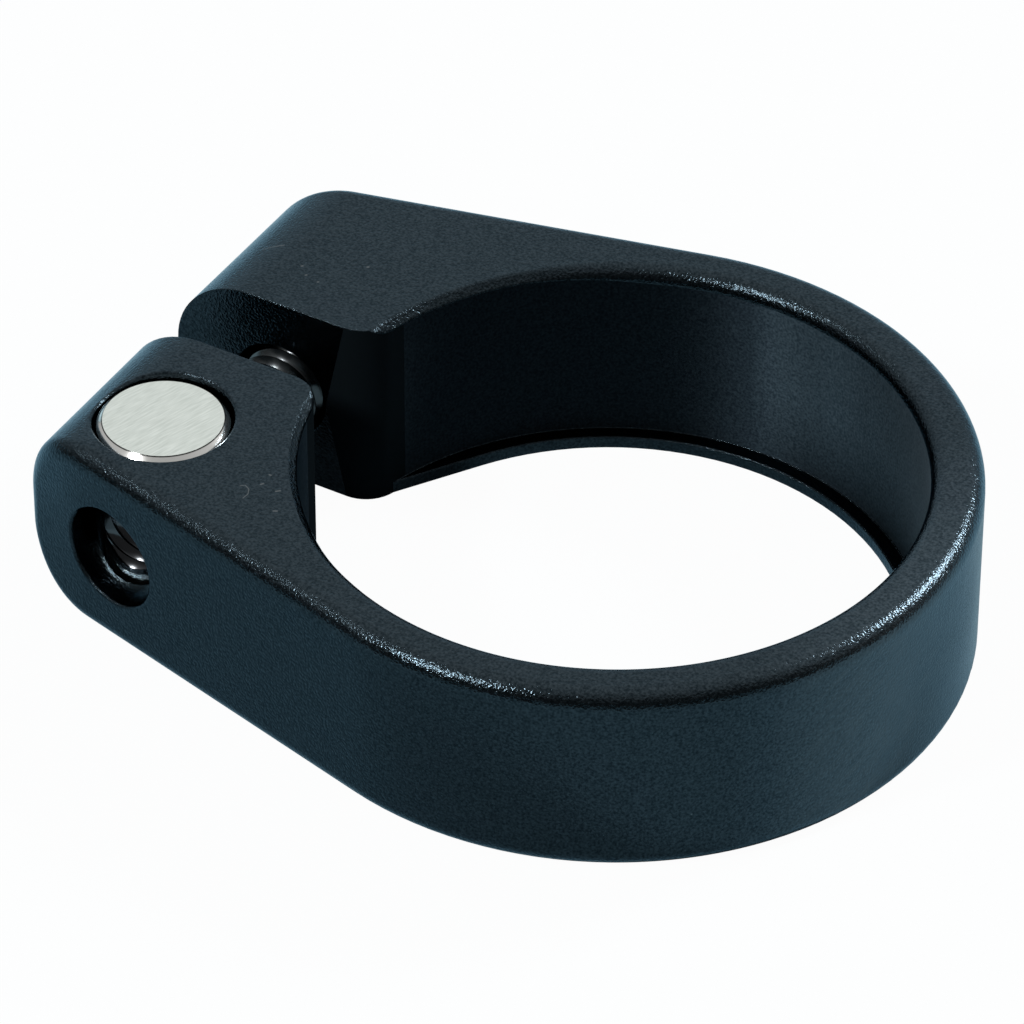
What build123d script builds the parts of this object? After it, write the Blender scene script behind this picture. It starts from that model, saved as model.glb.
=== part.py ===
from build123d import *
import os

# All sizes are in millimetres.
# The bore axis is Z, and z = 0 is the seat, the upper face of the lip, where the seat tube's end stops.
# The ears point along -X, the bolt lies along Y, and the barrel nut stands upright in the ear at -Y.

# Ring
bore_diameter = 34.9
ring_wall = 3.0
collar_height = 12.1

# Lip at the lower end of the bore, left out beside the gap
lip_width = 0.95
lip_height = 0.75

# Ears and the gap between them
gap_width = 5.2
tip_reach = 30.3
tip_width = 27.1
nose_radius = 5.0
gap_corner_radius = 2.2

# Edges
outer_edge_radius = 1.1
bore_chamfer = 0.5
hole_edge_chamfer = 0.15

# Clamp bolt, a socket head screw
bolt_diameter = 5.0
bolt_length = 20.0
bolt_tip_chamfer = 0.6
head_diameter = 8.5
head_height = 5.0
head_chamfer = 0.4
socket_width = 4.0
socket_depth = 2.5

# Barrel nut
nut_diameter = 7.5
nut_recess = 0.15
nut_chamfer = 0.35

# Where the bolt and the nut lie
bolt_reach = 23.4
nut_offset = 9.4
head_seat_offset = 10.0

# Clearances
thread_clearance = 0.05
bolt_hole_clearance = 0.55
nut_clearance = 0.25
head_clearance = 0.5
head_seat_clearance = 0.15

# Worked out from the sizes above
bore_radius = bore_diameter / 2
outer_radius = bore_radius + ring_wall
lip_radius = bore_radius - lip_width
corner_offset = bore_radius * (gap_width / 2 + gap_corner_radius) / (bore_radius + gap_corner_radius)
corner_reach = (bore_radius**2 - corner_offset**2) ** 0.5
collar_bottom = -lip_height
bolt_level = collar_bottom + collar_height / 2
nut_length = collar_height - 2 * nut_recess
bolt_hole_radius = bolt_diameter / 2 + bolt_hole_clearance
nut_hole_radius = nut_diameter / 2 + nut_clearance
counterbore_radius = head_diameter / 2 + head_clearance
bottom_plane = Plane.XY.offset(collar_bottom)
counterbore_plane = Plane((-bolt_reach, head_seat_offset, bolt_level), x_dir=(1, 0, 0), z_dir=(0, 1, 0))
bolt_plane = counterbore_plane.offset(head_seat_clearance)
nut_plane = Plane((-bolt_reach, -nut_offset, collar_bottom + nut_recess))


# Collar
with BuildPart() as collar:
    # Ring and tip in one outline, with straight flanks that leave the ring as tangents
    with BuildSketch(bottom_plane):
        Circle(outer_radius)
        with BuildLine():
            Line((-tip_reach, -tip_width / 2), (-tip_reach, tip_width / 2))
        make_hull()
    extrude(amount=collar_height)

    # Rounded nose, seen along the bolt
    with BuildSketch(Plane.XZ) as side_view:
        with Locations(((outer_radius - tip_reach) / 2, bolt_level)):
            Rectangle(outer_radius + tip_reach, collar_height)
        fillet(side_view.vertices().group_by(Axis.X)[0], nose_radius)
    extrude(amount=outer_radius, both=True, mode=Mode.INTERSECT)

    # Soft edge all round the outer wall, over the nose too
    nose_seams = collar.edges().filter_by(Axis.Y)
    wall_seams = collar.edges().filter_by(Axis.Z).sort_by(Axis.X)[2:]
    fillet(collar.edges() - nose_seams - wall_seams, outer_edge_radius)

    # Bore and gap, with rounded corners where they meet
    with BuildSketch(bottom_plane) as opening:
        Circle(bore_radius)
        with Locations((-tip_reach / 2, 0)):
            Rectangle(tip_reach, gap_width)
        fillet(opening.vertices().group_by(Axis.X)[-1], gap_corner_radius)
    extrude(amount=collar_height, mode=Mode.SUBTRACT)

    # Chamfer at the bore's upper end
    with Locations((0, 0, collar_bottom + collar_height - bore_chamfer / 2)):
        Cone(bore_radius, bore_radius + bore_chamfer, bore_chamfer, mode=Mode.SUBTRACT)

    # Lip inside the bore, let into the wall, that runs out along tangents where the gap's corners begin
    with BuildPart():
        with BuildSketch(bottom_plane):
            Circle(bore_radius + ring_wall / 2)
            with Locations((-corner_reach, 0)):
                Rectangle(tip_reach, tip_width, align=(Align.MAX, Align.CENTER), mode=Mode.SUBTRACT)
        extrude(amount=lip_height)
        with BuildSketch(bottom_plane):
            Circle(lip_radius)
            with BuildLine():
                Line((-corner_reach, -corner_offset), (-corner_reach, corner_offset))
            make_hull()
        extrude(amount=lip_height, mode=Mode.SUBTRACT)

    # Upright hole for the barrel nut, chamfered at both ends
    with BuildSketch(bottom_plane):
        with Locations((-bolt_reach, -nut_offset)):
            Circle(nut_hole_radius)
    extrude(amount=collar_height, mode=Mode.SUBTRACT)
    chamfer(collar.edges(Select.LAST).filter_by(GeomType.CIRCLE), hole_edge_chamfer)

    # Counterbore for the bolt's head in the rear ear
    with BuildSketch(counterbore_plane):
        Circle(counterbore_radius)
    extrude(amount=tip_width, mode=Mode.SUBTRACT)

    # Bolt hole from the counterbore's floor through both ears, chamfered where it comes out in front
    with BuildSketch(counterbore_plane):
        Circle(bolt_hole_radius)
    extrude(amount=-2 * tip_width, mode=Mode.SUBTRACT)
    chamfer(collar.edges(Select.LAST).filter_by(GeomType.ELLIPSE), hole_edge_chamfer)

# Barrel nut, an upright pin with its thread hole across the middle
with BuildPart() as barrel_nut:
    with BuildSketch(nut_plane):
        Circle(nut_diameter / 2)
    extrude(amount=nut_length)
    chamfer(barrel_nut.edges().filter_by(GeomType.CIRCLE), nut_chamfer)
    with BuildSketch(bolt_plane):
        Circle(bolt_diameter / 2 + thread_clearance)
    extrude(amount=-tip_width, mode=Mode.SUBTRACT)

# Clamp bolt, its head in the rear ear and its tip in the barrel nut
with BuildPart() as clamp_bolt:
    with BuildSketch(bolt_plane):
        Circle(head_diameter / 2)
    extrude(amount=head_height)
    chamfer(clamp_bolt.edges().group_by(Axis.Y)[-1], head_chamfer)
    with BuildSketch(bolt_plane):
        Circle(bolt_diameter / 2)
    extrude(amount=-bolt_length)
    chamfer(clamp_bolt.edges().group_by(Axis.Y)[0], bolt_tip_chamfer)
    with BuildSketch(bolt_plane.offset(head_height)):
        RegularPolygon(socket_width / 2, 6, major_radius=False)
    extrude(amount=-socket_depth, mode=Mode.SUBTRACT)

os.makedirs("parts", exist_ok=True)
for name, piece in (("collar", collar), ("barrel_nut", barrel_nut), ("clamp_bolt", clamp_bolt)):
    piece.part.label = name
    export_step(piece.part, f"parts/{name}.step")
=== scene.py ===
import bmesh
import bpy
import math
from mathutils import Matrix, Vector


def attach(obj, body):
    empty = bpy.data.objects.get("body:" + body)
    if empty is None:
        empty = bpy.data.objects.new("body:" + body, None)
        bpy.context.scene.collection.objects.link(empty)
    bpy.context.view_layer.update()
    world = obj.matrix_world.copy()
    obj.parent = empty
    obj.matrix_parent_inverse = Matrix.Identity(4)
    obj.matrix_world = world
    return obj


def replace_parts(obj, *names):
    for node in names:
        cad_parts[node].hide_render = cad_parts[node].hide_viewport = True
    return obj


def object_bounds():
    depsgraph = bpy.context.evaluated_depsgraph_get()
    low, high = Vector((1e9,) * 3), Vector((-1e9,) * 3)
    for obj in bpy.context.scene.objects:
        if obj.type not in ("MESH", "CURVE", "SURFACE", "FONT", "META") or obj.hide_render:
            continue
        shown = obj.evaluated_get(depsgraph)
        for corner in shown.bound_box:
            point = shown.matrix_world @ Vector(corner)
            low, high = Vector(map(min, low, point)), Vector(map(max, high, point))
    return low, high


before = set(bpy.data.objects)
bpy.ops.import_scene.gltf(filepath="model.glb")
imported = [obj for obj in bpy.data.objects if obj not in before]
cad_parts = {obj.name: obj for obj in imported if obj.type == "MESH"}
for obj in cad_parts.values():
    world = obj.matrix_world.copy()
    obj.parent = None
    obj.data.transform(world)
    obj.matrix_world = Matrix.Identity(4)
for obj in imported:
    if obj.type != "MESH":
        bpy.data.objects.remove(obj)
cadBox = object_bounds()  # the CAD solids alone
mm = 0.001
weldDistance = 0.0005 * mm
sameFacing = 0.999999  # cosine between two normals of one flat patch
noiseSpan = (0.3, 0.7)  # most of a noise texture lies between these
white = (1, 1, 1, 1)
scene = bpy.context.scene
scene.view_settings.view_transform = "Standard"
print("frame:", sorted(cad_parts))


def addNode(tree, kind, inputs=None, **settings):
    made = tree.nodes.new(kind)
    for key, value in settings.items():
        setattr(made, key, value)
    for key, value in (inputs or {}).items():
        if isinstance(value, bpy.types.NodeSocket):
            tree.links.new(value, made.inputs[key])
        else:
            made.inputs[key].default_value = value
    return made


def newFinish(name, sockets):
    mat = bpy.data.materials.new(name)
    mat.use_nodes = True
    shader = mat.node_tree.nodes["Principled BSDF"]
    for key, value in sockets.items():
        shader.inputs[key].default_value = value
    return mat, mat.node_tree, shader


def mathNode(tree, operation, first, second):
    return addNode(tree, "ShaderNodeMath", {0: first, 1: second}, operation=operation).outputs[0]


def vectorNode(tree, operation, first, second=(0, 0, 0), output="Vector"):
    return addNode(tree, "ShaderNodeVectorMath", {0: first, 1: second}, operation=operation).outputs[output]


def objectCoords(tree):
    return addNode(tree, "ShaderNodeTexCoord").outputs["Object"]


def axesOf(tree, coords):
    return addNode(tree, "ShaderNodeSeparateXYZ", {0: coords}).outputs


def flatten(tree, coords):
    return vectorNode(tree, "MULTIPLY", coords, (1, 1, 0))


def fromAxis(tree, coords):  # distance from the Z axis
    return vectorNode(tree, "LENGTH", flatten(tree, coords), output="Value")


def turnCoords(tree, coords, axis, angle):
    sockets = {"Vector": coords, "Angle": angle}
    return addNode(tree, "ShaderNodeVectorRotate", sockets, rotation_type=axis).outputs[0]


def noise(tree, coords, scale, detail):
    sockets = {"Vector": coords, "Scale": scale, "Detail": detail}
    return addNode(tree, "ShaderNodeTexNoise", sockets).outputs["Fac"]


def streaks(tree, coords, cells, detail):  # cells per metre along each axis
    stretched = addNode(tree, "ShaderNodeMapping", {"Vector": coords, "Scale": cells}).outputs[0]
    return noise(tree, stretched, 1.0, detail)


def ramp(tree, value, span, result=(0, 1)):
    low, high = span
    start, end = result
    sockets = {"Value": value, "From Min": low, "From Max": high, "To Min": start, "To Max": end}
    return addNode(tree, "ShaderNodeMapRange", sockets).outputs[0]


def blend(tree, share, first, second):
    return addNode(tree, "ShaderNodeMix", {0: share, 6: first, 7: second}, data_type="RGBA").outputs[2]


def bumpInto(tree, shader, height, depth, softEdge):  # softEdge is a small radius that catches light
    soft = addNode(tree, "ShaderNodeBevel", {"Radius": softEdge}, samples=4).outputs[0]
    sockets = {"Height": height, "Distance": depth, "Strength": 1.0, "Normal": soft}
    tree.links.new(addNode(tree, "ShaderNodeBump", sockets).outputs[0], shader.inputs["Normal"])


def place(name, mesh, body, finishes):
    obj = bpy.data.objects.new(name, mesh)
    scene.collection.objects.link(obj)
    for finish in finishes:
        mesh.materials.append(finish)
    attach(obj, body)
    return obj


def weldedCopy(nodeName):  # the node's own form with its faces joined
    bm = bmesh.new()
    bm.from_mesh(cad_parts[nodeName].data)
    bmesh.ops.remove_doubles(bm, verts=bm.verts, dist=weldDistance)
    bm.verts.index_update()
    mesh = bpy.data.meshes.new(nodeName + "Skin")
    mesh.from_pydata([v.co.copy() for v in bm.verts], [], [[v.index for v in f.verts] for f in bm.faces])
    bm.free()
    return mesh


def flatAreas(bm):  # area of the flat patch that each face belongs to
    areas = {}
    for start in bm.faces:
        if start in areas:
            continue
        patch, areas[start] = [start], 0
        for face in patch:
            for other in (f for edge in face.edges for f in edge.link_faces):
                if other not in areas and other.normal.dot(start.normal) > sameFacing:
                    areas[other] = 0
                    patch.append(other)
        total = sum(face.calc_area() for face in patch)
        areas.update((face, total) for face in patch)
    return areas


def softShade(mesh, sharpAngle):  # flat faces stay flat, and strips between them shade as rounded edges
    mesh.shade_smooth()
    mesh.set_sharp_from_angle(angle=sharpAngle)
    bm = bmesh.new()
    bm.from_mesh(mesh)
    areas = flatAreas(bm)
    normals = [Vector((0, 0, 1))] * len(mesh.loops)
    for vert in bm.verts:
        waiting = set(vert.link_faces)
        while waiting:
            fan = [waiting.pop()]
            for face in fan:
                for edge in (e for e in face.edges if e.smooth and vert in e.verts):
                    fan += [other for other in edge.link_faces if other in waiting]
                    waiting -= set(edge.link_faces)
            normal = sum((face.normal * areas[face] for face in fan), Vector()).normalized()
            for face in fan:
                at = mesh.polygons[face.index].loop_start + [v.index for v in face.verts].index(vert.index)
                normals[at] = normal
    bm.free()
    mesh.normals_split_custom_set(normals)


# collar, blasted and anodised black, with a turned bore
collarSpec = {
    "sharp": math.radians(50),
    "top": cadBox[1].z,
    "boreRadius": 17.45 * mm,
    "boreEdge": (0.5 * mm, 0.9 * mm),  # the turned chamfer, and the rounding that blasting leaves of it
    "edgeFrom": (-13 * mm, -7 * mm),  # along X, from the chamfer to the rounding
    "edgeCuts": 5,
    "edgeSlack": 0.01 * mm,
    "tipCorner": Vector((cadBox[0].x, -13.55 * mm, 0)),  # front ear
    "cornerInward": Vector((0.787, 0.616, 0)),
    "cornerEase": (0.44 * mm, 3.0 * mm),  # how far the corner is worn in, and how far in from it this ends
    "wallTilt": 0.1,  # a face with less of its normal along Z is a wall
    "boreBand": 0.2 * mm,  # how far the middle of a bore's face may lie from the radius
    "slotFrom": (-19.6 * mm, -14.6 * mm),  # along X, the end of the gap with its round corners, where shade is painted
    "slotHalf": 4.9 * mm,
    "outside": {"Base Color": (0.02, 0.032, 0.041, 1), "Metallic": 1.0,
                "Specular Tint": (0.74, 0.89, 1.0, 1)},
    "bore": {"Base Color": (0.008, 0.014, 0.02, 1), "Metallic": 1.0, "Roughness": 0.56,
             "Anisotropic": 0.95, "Anisotropic Rotation": 0.25},
    # painted shade: the gap's end and its round corners, black and without reflection
    "slot": {"Base Color": (0.006, 0.009, 0.011, 1), "Specular IOR Level": 0.0, "Roughness": 0.5},
    "grain": 0.15 * mm,  # one bump of the blasted surface
    "grainDetail": 1.5,
    "grainDepth": 0.04 * mm,
    "shades": ((0.011, 0.0175, 0.022, 1), (0.034, 0.047, 0.056, 1)),  # pits and peaks of the grain
    "paintedLitShades": ((0.021, 0.032, 0.04, 1), (0.062, 0.084, 0.1, 1)),  # painted light: the ring's tone lighter opposite the gap, towards +X
    "paintedLitFrom": (15 * mm, 20 * mm),  # along X
    "boreShades": ((0.006, 0.01, 0.014, 1), (0.016, 0.025, 0.032, 1)),
    "paintedBoreLightShades": ((0.036, 0.06, 0.078, 1), (0.09, 0.132, 0.162, 1)),  # painted light: the bore lighter opposite the gap, while boreShades by the gap and low down are painted shade
    "paintedBoreLightFrom": (-1 * mm, 5 * mm),  # along X
    "paintedBoreLightLevel": (0.5 * mm, 5 * mm),  # along Z, darker towards the bottom as painted shade
    "paintedBoreLightShare": (0.3, 1),  # at the lower and the upper level
    "paintedSheen": ((0.2, 0.25, 0.28, 1), white),  # painted sheen: the bore's tint at a low angle, dull by the gap and white opposite it
    "paintedSheenFrom": (6 * mm, 13 * mm),  # along X
    "softEdge": (0.16 * mm, 0.2 * mm),  # on the ears and on the ring
    "softFrom": (-17 * mm, -12 * mm),  # along X
    "cloud": 4 * mm,  # patches of slightly different gloss
    "cloudDetail": 3,
    "gloss": (0.12, 0.2),
    "streakDetail": 2,
    "turning": (250, 250, 16000),  # fine rings round the bore, in cells per metre
    "turningDepth": 0.003 * mm,
    # real rub marks, and painted light: even at their faintest they lift that side's tone
    "rubAndLightTone": (0.08, 0.092, 0.1, 1),
    "rubCells": (300, 500, 4500),  # slanting rub marks on the ring's outside, opposite the gap, over an even painted light
    "rubSlope": math.radians(28),
    "rubSpan": (0.35, 0.68),  # of the noise
    "rubAndLightShare": (0.45, 0.95),
    "rubAndLightFrom": (16.5 * mm, 20.4 * mm),  # along X
    "rubAndLightRadius": (20.1 * mm, 20.4 * mm),
    "dustTone": (0.15, 0.165, 0.17, 1),
    "dustCell": 1.7 * mm,
    "dustSize": 0.045 * mm,
    "dustShare": 0.08,  # of the cells
    "dustFade": (0.5, 1.5),  # of the size
    "dustStrength": 0.5,
    "lintAbove": 9 * mm,
    "lintFade": (0.5, 1.3),  # of half the width
    "lintStrength": 0.6,
    "lint": [  # fibres and flecks on the upper face: from, to and half the width, in mm
        ((-16.4, -12.5), (-16.21, -12.29), 0.03), ((-16.21, -12.29), (-15.84, -12.48), 0.03),
        ((-15.84, -12.48), (-15.65, -12.88), 0.03), ((-15.65, -12.88), (-15.7, -13.31), 0.03),
        ((-15.5, -11.8), (-15.42, -11.68), 0.06), ((-15.54, -10.84), (-15.46, -10.84), 0.06),
        ((-14.46, -11.9), (-14.3, -11.74), 0.06), ((-13.66, -13.42), (-13.5, -13.34), 0.06),
        ((-27.2, 7.02), (-26.17, 7.63), 0.05), ((-24.18, 6.35), (-24.14, 6.39), 0.07),
        ((-23.53, 5.73), (-23.49, 5.77), 0.06), ((-22.6, 5.52), (-22.56, 5.56), 0.06),
        ((-20.9, 8.18), (-20.86, 8.22), 0.07),
    ],
}


def rubMarksAndLight(tree, coords, spec):
    slanting = turnCoords(tree, coords, "X_AXIS", -spec["rubSlope"])
    found = streaks(tree, slanting, spec["rubCells"], spec["streakDetail"])
    marks = ramp(tree, found, spec["rubSpan"], spec["rubAndLightShare"])
    along = ramp(tree, axesOf(tree, coords)["X"], spec["rubAndLightFrom"])
    outward = ramp(tree, fromAxis(tree, coords), spec["rubAndLightRadius"])
    return mathNode(tree, "MULTIPLY", marks, mathNode(tree, "MULTIPLY", along, outward))


def dust(tree, coords, spec):
    cells = addNode(tree, "ShaderNodeTexVoronoi", {"Vector": coords, "Scale": 1 / spec["dustCell"]}).outputs
    chosen = mathNode(tree, "LESS_THAN", axesOf(tree, cells["Color"])["X"], spec["dustShare"])
    fade = [edge * spec["dustSize"] / spec["dustCell"] for edge in spec["dustFade"]]
    speck = ramp(tree, cells["Distance"], fade, (spec["dustStrength"], 0))
    return mathNode(tree, "MULTIPLY", speck, chosen)


def lint(tree, coords, spec):
    flat = flatten(tree, coords)
    found = 0.0
    for start, end, halfWidth in spec["lint"]:
        begin = Vector((*start, 0)) * mm
        along = Vector((*end, 0)) * mm - begin
        offset = vectorNode(tree, "SUBTRACT", flat, begin)
        share = vectorNode(tree, "DOT_PRODUCT", offset, along / along.length_squared, "Value")
        inside = addNode(tree, "ShaderNodeClamp", {0: share}).outputs[0]
        sockets = {0: along, "Scale": inside}
        foot = addNode(tree, "ShaderNodeVectorMath", sockets, operation="SCALE").outputs[0]
        away = vectorNode(tree, "DISTANCE", offset, foot, "Value")
        fade = [edge * halfWidth * mm for edge in spec["lintFade"]]
        found = mathNode(tree, "MAXIMUM", ramp(tree, away, fade, (spec["lintStrength"], 0)), found)
    onTop = mathNode(tree, "GREATER_THAN", axesOf(tree, coords)["Z"], spec["lintAbove"])
    return mathNode(tree, "MULTIPLY", found, onTop)


def softRadius(tree, coords, spec):
    return ramp(tree, axesOf(tree, coords)["X"], spec["softFrom"], spec["softEdge"])


def blastedFinish(spec):
    mat, tree, shader = newFinish("blackBlasted", spec["outside"])
    coords = objectCoords(tree)
    grain = noise(tree, coords, 1 / spec["grain"], spec["grainDetail"])
    bumpInto(tree, shader, grain, spec["grainDepth"], softRadius(tree, coords, spec))
    peaks = ramp(tree, grain, noiseSpan)
    # painted light: the base colour turns lighter towards +X
    paintedLit = ramp(tree, axesOf(tree, coords)["X"], spec["paintedLitFrom"])
    tone = blend(tree, paintedLit, blend(tree, peaks, *spec["shades"]), blend(tree, peaks, *spec["paintedLitShades"]))
    # rub marks, with painted light lifting the outer wall towards +X
    tone = blend(tree, rubMarksAndLight(tree, coords, spec), tone, spec["rubAndLightTone"])
    dirt = mathNode(tree, "MAXIMUM", dust(tree, coords, spec), lint(tree, coords, spec))
    tree.links.new(blend(tree, dirt, tone, spec["dustTone"]), shader.inputs["Base Color"])
    cloud = noise(tree, coords, 1 / spec["cloud"], spec["cloudDetail"])
    tree.links.new(ramp(tree, cloud, noiseSpan, spec["gloss"]), shader.inputs["Roughness"])
    return mat


def turnedFinish(spec):
    mat, tree, shader = newFinish("blackTurned", spec["bore"])
    coords = objectCoords(tree)
    axes = axesOf(tree, coords)
    rings = streaks(tree, coords, spec["turning"], spec["streakDetail"])
    grain = noise(tree, coords, 1 / spec["grain"], spec["grainDetail"])
    height = mathNode(tree, "ADD", rings, grain)
    bumpInto(tree, shader, height, spec["turningDepth"], softRadius(tree, coords, spec))
    peaks = ramp(tree, grain, noiseSpan)
    # painted light and shade: the bore's tone lighter opposite the gap and higher up, darker by the gap and
    # at the bottom
    along = ramp(tree, axes["X"], spec["paintedBoreLightFrom"])
    upward = ramp(tree, axes["Z"], spec["paintedBoreLightLevel"], spec["paintedBoreLightShare"])
    paintedBoreLight = mathNode(tree, "MULTIPLY", along, upward)
    tone = blend(tree, paintedBoreLight, blend(tree, peaks, *spec["boreShades"]), blend(tree, peaks, *spec["paintedBoreLightShades"]))
    tree.links.new(tone, shader.inputs["Base Color"])
    # painted sheen: the bore reflects more at a low angle towards +X
    paintedSheen = blend(tree, ramp(tree, axes["X"], spec["paintedSheenFrom"]), *spec["paintedSheen"])
    tree.links.new(paintedSheen, shader.inputs["Specular Tint"])
    around = addNode(tree, "ShaderNodeTangent", direction_type="RADIAL", axis="Z")
    tree.links.new(around.outputs[0], shader.inputs["Tangent"])
    return mat


def roundBoreEdge(mesh, spec):
    chamfer, rounding = spec["boreEdge"]
    start, end = spec["edgeFrom"]
    bm = bmesh.new()
    bm.from_mesh(mesh)

    def onChamfer(vert):  # 0 at the upper end of the chamfer, 1 at the lower end, None elsewhere
        drop = (spec["top"] - vert.co.z) / chamfer
        offCone = vert.co.xy.length - spec["boreRadius"] - chamfer * (1 - drop)
        offEnds = max(-drop, drop - 1) * chamfer
        return drop if max(offEnds, abs(offCone)) < spec["edgeSlack"] else None

    across = []
    for edge in bm.edges:
        drops = [onChamfer(vert) for vert in edge.verts]
        if None not in drops and round(abs(drops[0] - drops[1])) == 1:
            across.append(edge)
    bmesh.ops.subdivide_edges(bm, edges=across, cuts=spec["edgeCuts"], use_grid_fill=True)
    for vert in bm.verts:
        drop = onChamfer(vert)
        if drop is None:
            continue
        share = min(max((vert.co.x - start) / (end - start), 0), 1)  # 0 is a chamfer, 1 is round
        tilt = drop * math.pi / 2
        width = chamfer + (rounding - chamfer) * share
        out = width * ((1 - math.sin(tilt)) * share + (1 - drop) * (1 - share))
        down = width * ((1 - math.cos(tilt)) * share + drop * (1 - share))
        flat = vert.co.xy.normalized() * (spec["boreRadius"] + out)
        vert.co = (flat.x, flat.y, spec["top"] - down)
    bm.to_mesh(mesh)
    bm.free()


def makeCollar(spec):
    mesh = weldedCopy("collar")
    roundBoreEdge(mesh, spec)
    ease, reach = spec["cornerEase"]
    for vert in mesh.vertices:
        depth = (vert.co - spec["tipCorner"]).dot(spec["cornerInward"])
        vert.co += spec["cornerInward"] * ease * max(0, 1 - depth / reach) ** 2
    softShade(mesh, spec["sharp"])
    finishes = [blastedFinish(spec), turnedFinish(spec), newFinish("slotPaintedShade", spec["slot"])[0]]
    skin = place("collarSkin", mesh, "collar", finishes)
    slotStart, slotEnd = spec["slotFrom"]
    # faces at the end of the gap get the painted shade
    for face in (f for f in mesh.polygons if abs(f.normal.z) < spec["wallTilt"]):
        inBore = abs(face.center.xy.length - spec["boreRadius"]) < spec["boreBand"]
        inSlotShade = slotStart < face.center.x < slotEnd and abs(face.center.y) < spec["slotHalf"]
        face.material_index = 2 if inSlotShade else 1 if inBore else 0
    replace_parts(skin, "collar")
    print("collar:", len(mesh.polygons), "faces")


# steel surfaces and threads of the nut and the bolt
steelWear = {"cells": 900, "detail": 3}  # cells per metre
threadSpec = {
    "pitch": 0.8 * mm,
    "shares": (0.0, 0.03, 0.1, 0.13, 0.43, 0.5, 0.62, 0.69),  # of the pitch: the crest, then the root
    "soft": 0.04 * mm,
    "around": 72,
    "sharp": math.radians(32),
}


def turnedSteel(name, sockets, gloss):
    mat, tree, shader = newFinish(name, sockets)
    wear = noise(tree, objectCoords(tree), steelWear["cells"], steelWear["detail"])
    tree.links.new(ramp(tree, wear, noiseSpan, gloss), shader.inputs["Roughness"])
    return mat


def threadProfile(crest, root):  # share of the pitch and radius for each row of one turn
    soft = math.copysign(threadSpec["soft"], crest - root)
    radii = [crest - soft, crest, crest, crest - soft, root + soft, root, root, root + soft]
    return list(zip(threadSpec["shares"], radii))


def helix(profile, turns, pointAt):
    around = threadSpec["around"]
    rows = len(profile) * turns
    points = []
    for row in range(rows + len(profile)):
        share, radius = profile[row % len(profile)]
        for j in range(around):
            along = (row // len(profile) + share + j / around) * threadSpec["pitch"]
            points.append(pointAt(along, radius, 2 * math.pi * j / around))

    def at(row, j):  # past the last point round, the next turn begins
        return row * around + j if j < around else (row + len(profile)) * around

    faces = [(at(row, j), at(row, j + 1), at(row + 1, j + 1), at(row + 1, j))
             for row in range(rows - 1) for j in range(around)]
    return points, faces


def bandFaces(rows, count):  # between closed rows of points
    faces = []
    for start in range(0, (rows - 1) * count, count):
        for i in range(count):
            j = (i + 1) % count
            faces.append((start + i, start + j, start + count + j, start + count + i))
    return faces


def joinedMesh(name, points, faces, capped):
    bm = bmesh.new()
    verts = [bm.verts.new(point) for point in points]
    for face in faces:
        bm.faces.new([verts[i] for i in face])
    bmesh.ops.remove_doubles(bm, verts=bm.verts, dist=weldDistance)
    bmesh.ops.dissolve_degenerate(bm, edges=bm.edges, dist=weldDistance)
    bmesh.ops.delete(bm, geom=[v for v in bm.verts if not v.link_faces], context="VERTS")
    if capped:
        bmesh.ops.holes_fill(bm, edges=[e for e in bm.edges if e.is_boundary])
    bmesh.ops.recalc_face_normals(bm, faces=bm.faces)
    mesh = bpy.data.meshes.new(name)
    bm.to_mesh(mesh)
    bm.free()
    mesh.shade_smooth()
    mesh.set_sharp_from_angle(angle=threadSpec["sharp"])
    return mesh


# barrel nut, bright steel
nutSpec = {
    "centre": (-23.4 * mm, -9.4 * mm),
    "radius": 3.75 * mm,
    "sharp": math.radians(30),
    "endTilt": 0.99,  # a face with more of its normal along Z is an end face
    "ends": {"Base Color": (0.59, 0.64, 0.60, 1), "Metallic": 1.0, "Roughness": 0.3},
    "marks": (900, 9000, 900),  # cells per metre along and across the grinding marks
    "markDetail": 3,
    "markTurn": math.radians(73),
    "markDepth": 0.0008 * mm,
    "markShades": ((0.55, 0.6, 0.56, 1), (0.7, 0.75, 0.71, 1)),
    "softEdge": 0.05 * mm,
    "sides": {"Base Color": (0.85, 0.85, 0.82, 1), "Metallic": 1.0},
    "sideGloss": (0.1, 0.18),
    "paintedEdgeShade": (0.03, 0.03, 0.03, 1),  # painted shade: dark line where the chamfer meets the end face
    "paintedEdgeShadeRadius": (3.43 * mm, 3.47 * mm),
    # painted shade: the nut's own steel, darkened inside the thread hole
    "thread": {"Base Color": (0.07, 0.075, 0.08, 1), "Metallic": 1.0},
    "threadLevel": 5.3 * mm,
    "threadRadius": (2.08 * mm, 2.5 * mm),  # crest and root
    "threadTurns": 9,
    "threadEnd": -9.95 * mm,  # just short of the bolt's tip
    "mouthRadius": 2.14 * mm,
    "wallRadius": 2.53 * mm,  # just inside the hole of the solid
}


def groundFinish(spec):  # the nut's end faces, with fine marks along one direction
    mat, tree, shader = newFinish("groundSteel", spec["ends"])
    turned = turnCoords(tree, objectCoords(tree), "Z_AXIS", -spec["markTurn"])
    marks = streaks(tree, turned, spec["marks"], spec["markDetail"])
    bumpInto(tree, shader, marks, spec["markDepth"], spec["softEdge"])
    tone = blend(tree, ramp(tree, marks, noiseSpan), *spec["markShades"])
    tree.links.new(tone, shader.inputs["Base Color"])
    return mat


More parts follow.
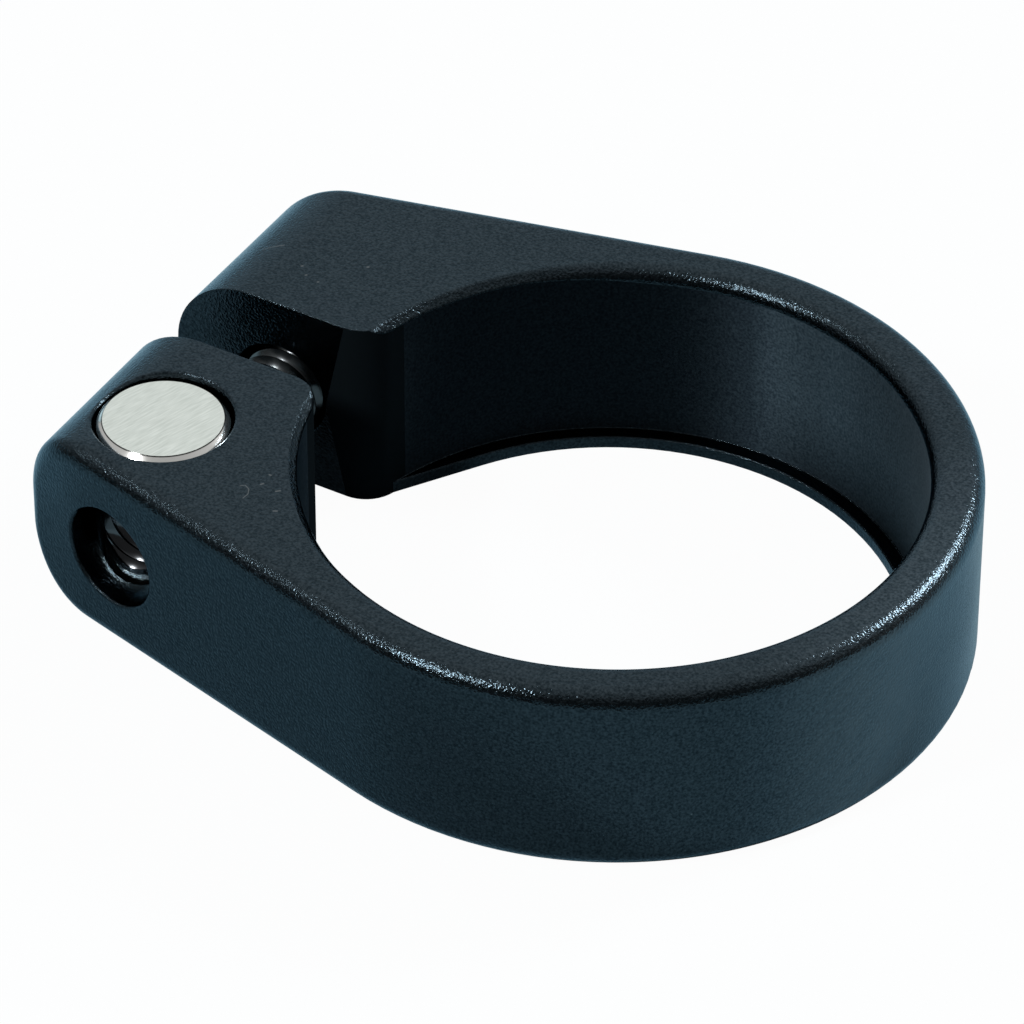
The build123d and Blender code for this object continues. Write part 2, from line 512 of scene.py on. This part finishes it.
def sideFinish(spec):
    mat = turnedSteel("nutSides", spec["sides"], spec["sideGloss"])
    tree = mat.node_tree
    # painted shade: a dark ring at the chamfer's inner edge
    offset = vectorNode(tree, "SUBTRACT", objectCoords(tree), Vector((*spec["centre"], 0)))
    line = ramp(tree, fromAxis(tree, offset), spec["paintedEdgeShadeRadius"], (1, 0))
    tone = blend(tree, line, spec["sides"]["Base Color"], spec["paintedEdgeShade"])
    tree.links.new(tone, tree.nodes["Principled BSDF"].inputs["Base Color"])
    return mat


def outsideY(spec, side):  # the nut's round outside towards -Y, this far to the side of its middle
    return spec["centre"][1] - math.sqrt(spec["radius"] ** 2 - side ** 2)


def nutThreadMesh(spec):
    helixStart = spec["centre"][1] - spec["radius"] - 2 * threadSpec["pitch"]

    def threadPoint(along, radius, angle):  # the thread starts at the nut's round outside
        start = outsideY(spec, spec["mouthRadius"] * math.cos(angle))
        y = min(max(helixStart + along, start), spec["threadEnd"])
        radius = max(radius, spec["mouthRadius"] - (y - start))
        if math.isclose(y, spec["threadEnd"]):
            radius = spec["wallRadius"]
        return spec["centre"][0] + radius * math.cos(angle), y, spec["threadLevel"] + radius * math.sin(angle)

    points, faces = helix(threadProfile(*spec["threadRadius"]), spec["threadTurns"], threadPoint)
    return joinedMesh("nutThread", points, faces, False)


def nutMouthMesh(spec):  # ring round the mouth of the thread, flush with the nut
    count = threadSpec["around"]
    rim = []
    for radius in (spec["mouthRadius"], spec["wallRadius"]):
        for i in range(count):
            angle = 2 * math.pi * i / count
            side = radius * math.cos(angle)
            level = spec["threadLevel"] + radius * math.sin(angle)
            rim.append((spec["centre"][0] + side, outsideY(spec, side), level))
    return joinedMesh("nutMouth", rim, bandFaces(2, count), False)


def makeNut(spec):
    mesh = weldedCopy("barrel_nut")
    softShade(mesh, spec["sharp"])
    sides = sideFinish(spec)
    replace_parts(place("nutSkin", mesh, "nut", [groundFinish(spec), sides]), "barrel_nut")
    for face in mesh.polygons:
        face.material_index = 0 if abs(face.normal.z) > spec["endTilt"] else 1
    thread = nutThreadMesh(spec)
    # painted shade: the thread's steel is a darkened copy of the nut's
    shadedThreadSteel = turnedSteel("nutThread", spec["thread"], spec["sideGloss"])
    place("nutThread", thread, "nut", [shadedThreadSteel])
    place("nutMouth", nutMouthMesh(spec), "nut", [sides])
    print("nut:", len(mesh.polygons) + len(thread.polygons), "faces")


# clamp bolt, plain dark steel
boltSpec = {
    "axis": (-23.4 * mm, 5.3 * mm),  # x and z
    "steel": {"Base Color": (0.1, 0.11, 0.115, 1), "Metallic": 1.0},
    "gloss": (0.14, 0.24),
    "radius": 2.5 * mm,
    "root": 2.0 * mm,
    "seat": 10.15 * mm,  # underside of the head
    "sunk": 0.3 * mm,  # how far the shank reaches into the head
    "plain": 1.2 * mm,  # without thread, under the head
    "tip": -9.85 * mm,
    "tipChamfer": 0.6 * mm,
    "headRadius": 4.25 * mm,
    "headHeight": 5.0 * mm,
    "headChamfer": 0.4 * mm,
    "headEdge": 0.15 * mm,  # at the underside
    "socketWidth": 4.0 * mm,
    "socketDepth": 2.5 * mm,
    "socketLead": 0.15 * mm,
    "socketPoint": (0.02 * mm, 0.5 * mm),  # radius and depth of the point below the socket's floor
}


def shankMesh(spec):
    axisX, axisZ = spec["axis"]
    pitch = threadSpec["pitch"]
    top = spec["seat"] + spec["sunk"]

    def shankPoint(along, radius, angle):
        y = min(max(top + pitch - along, spec["tip"]), top)
        tipRadius = spec["radius"] - spec["tipChamfer"] + y - spec["tip"]
        runOut = spec["root"] + max(0, spec["seat"] - spec["plain"] - y)
        radius = min(radius, tipRadius, runOut)
        return axisX + radius * math.cos(angle), y, axisZ + radius * math.sin(angle)

    turns = math.ceil((top - spec["tip"]) / pitch) + 2
    points, faces = helix(threadProfile(spec["radius"], spec["root"]), turns, shankPoint)
    return joinedMesh("boltShank", points, faces, True)


def headMesh(spec):
    axisX, axisZ = spec["axis"]
    count = threadSpec["around"]
    angles = [2 * math.pi * i / count for i in range(count)]

    def outline(radii, y):
        return [(axisX + r * math.cos(a), y, axisZ + r * math.sin(a)) for r, a in zip(radii, angles)]

    def circle(radius, y):
        return outline([radius] * count, y)

    def hexagon(halfWidth, y):
        sixth = math.pi / 3
        toFlat = [(a + sixth / 2) % sixth - sixth / 2 for a in angles]  # angle from the nearest flat's middle
        return outline([halfWidth / math.cos(a) for a in toFlat], y)

    seat, radius, flat = spec["seat"], spec["headRadius"], spec["socketWidth"] / 2
    edge, chamfer, lead = spec["headEdge"], spec["headChamfer"], spec["socketLead"]
    top = seat + spec["headHeight"]
    floor = top - spec["socketDepth"]
    pointRadius, pointDepth = spec["socketPoint"]
    rows = [circle(radius - edge, seat), circle(radius, seat + edge), circle(radius, top - chamfer),
            circle(radius - chamfer, top), hexagon(flat + lead, top), hexagon(flat, top - lead),
            hexagon(flat, floor), circle(pointRadius, floor - pointDepth)]
    return joinedMesh("boltHead", [point for row in rows for point in row], bandFaces(len(rows), count), True)


def makeBolt(spec):
    steel = turnedSteel("boltSteel", spec["steel"], spec["gloss"])
    shank, head = shankMesh(spec), headMesh(spec)
    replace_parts(place("boltShank", shank, "bolt", [steel]), "clamp_bolt")
    place("boltHead", head, "bolt", [steel])
    print("bolt:", len(shank.polygons) + len(head.polygons), "faces")


makeCollar(collarSpec)
makeNut(nutSpec)
makeBolt(boltSpec)

# camera
view = {
    "azimuth": math.radians(30.5),
    "elevation": math.radians(38.594),
    "roll": math.radians(0.106),
    "distance": 384.416 * mm,
    "lookAt": Vector((-5.469, -1.744, 6.595)) * mm,
    "lens": 243.296,
    "sensor": 36,
    "nearest": 10 * mm,
}


def directionOf(azimuth, elevation):  # azimuth 0 is towards -Y, a quarter turn is towards +X
    flat = math.cos(elevation)
    return Vector((math.sin(azimuth) * flat, -math.cos(azimuth) * flat, math.sin(elevation)))


def makeCamera(spec):
    data = bpy.data.cameras.new("camera")
    data.lens = spec["lens"]
    data.sensor_width = spec["sensor"]
    data.clip_start = spec["nearest"]
    obj = bpy.data.objects.new("camera", data)
    scene.collection.objects.link(obj)
    back = directionOf(spec["azimuth"], spec["elevation"])
    right = Vector((math.cos(spec["azimuth"]), math.sin(spec["azimuth"]), 0))
    axes = Matrix((right, back.cross(right), back)).transposed() @ Matrix.Rotation(spec["roll"], 3, "Z")
    obj.matrix_world = Matrix.Translation(spec["lookAt"] + back * spec["distance"]) @ axes.to_4x4()
    scene.camera = obj


# square lamps, with angles in degrees, sizes in metres and power in watts
lamps = [
    {"name": "frontLamp", "azimuth": -27, "elevation": 44, "distance": 0.5, "size": 0.06, "power": 1.4},
    {"name": "leftLamp", "azimuth": -68, "elevation": 46, "distance": 0.5, "size": 0.02, "power": 0.1},
    {"name": "backLamp", "azimuth": 150, "elevation": 38, "distance": 0.5, "size": 0.1, "power": 1.6},
]


def makeLamp(spec):
    data = bpy.data.lights.new(spec["name"], "AREA")
    data.shape = "SQUARE"
    data.size = spec["size"]
    data.energy = spec["power"]
    lamp = bpy.data.objects.new(spec["name"], data)
    scene.collection.objects.link(lamp)
    toLamp = directionOf(math.radians(spec["azimuth"]), math.radians(spec["elevation"]))
    facing = toLamp.to_track_quat("Z", "Y").to_matrix().to_4x4()
    lamp.matrix_world = Matrix.Translation(toLamp * spec["distance"]) @ facing


# white studio, open above and behind, with a darker room in front
studio = {
    "ambient": 0.14,
    "openTowards": directionOf(math.radians(210), math.radians(60)),
    "roomDark": 0.12,
    "roomEdge": (0.1, 0.95),
    "floorSize": 4.0,
    "floor": {"Base Color": (0.5, 0.72, 0.81, 1), "Roughness": 0.9, "Specular IOR Level": 0.0},
    "cameraWhite": 0.97,
    "glossyWhite": 0.04,
}


def pick(tree, chooser, whenOff, whenOn):
    return addNode(tree, "ShaderNodeMix", {0: chooser, 2: whenOff, 3: whenOn}, data_type="FLOAT").outputs[0]


def rayKinds(tree):  # what the camera sees, and what metal or glass shows
    rays = addNode(tree, "ShaderNodeLightPath").outputs
    mirrored = mathNode(tree, "MAXIMUM", rays["Is Glossy Ray"], rays["Is Transmission Ray"])
    return rays["Is Camera Ray"], mirrored


def makeWorld(spec):
    world = bpy.data.worlds.new("studio")
    world.use_nodes = True
    scene.world = world
    tree = world.node_tree
    seen, mirrored = rayKinds(tree)
    ray = addNode(tree, "ShaderNodeTexCoord").outputs["Generated"]
    towards = vectorNode(tree, "DOT_PRODUCT", ray, spec["openTowards"], "Value")
    room = ramp(tree, towards, spec["roomEdge"], (spec["roomDark"], 1.0))
    strength = pick(tree, seen, pick(tree, mirrored, spec["ambient"], room), 1.0)
    background = tree.nodes["Background"]
    background.inputs["Color"].default_value = white
    tree.links.new(strength, background.inputs["Strength"])


def makeFloor(spec):
    mesh = bpy.data.meshes.new("floor")
    half, level = spec["floorSize"] / 2, cadBox[0].z
    corners = [(-half, -half, level), (half, -half, level), (half, half, level), (-half, half, level)]
    mesh.from_pydata(corners, [], [(0, 1, 2, 3)])
    floor = bpy.data.objects.new("floor", mesh)
    scene.collection.objects.link(floor)
    mat, tree, shader = newFinish("paleFloor", spec["floor"])
    seen, mirrored = rayKinds(tree)
    share = pick(tree, seen, mathNode(tree, "MULTIPLY", mirrored, spec["glossyWhite"]), spec["cameraWhite"])
    glow = addNode(tree, "ShaderNodeEmission", {"Color": white, "Strength": 1.0})
    mix = addNode(tree, "ShaderNodeMixShader", {0: share, 1: shader.outputs[0], 2: glow.outputs[0]})
    tree.links.new(mix.outputs[0], tree.nodes["Material Output"].inputs["Surface"])
    mat.cycles.emission_sampling = "NONE"
    mesh.materials.append(mat)


makeCamera(view)
for lampSpec in lamps:
    makeLamp(lampSpec)
makeWorld(studio)
makeFloor(studio)
print("studio: camera,", len(lamps), "lamps and floor")
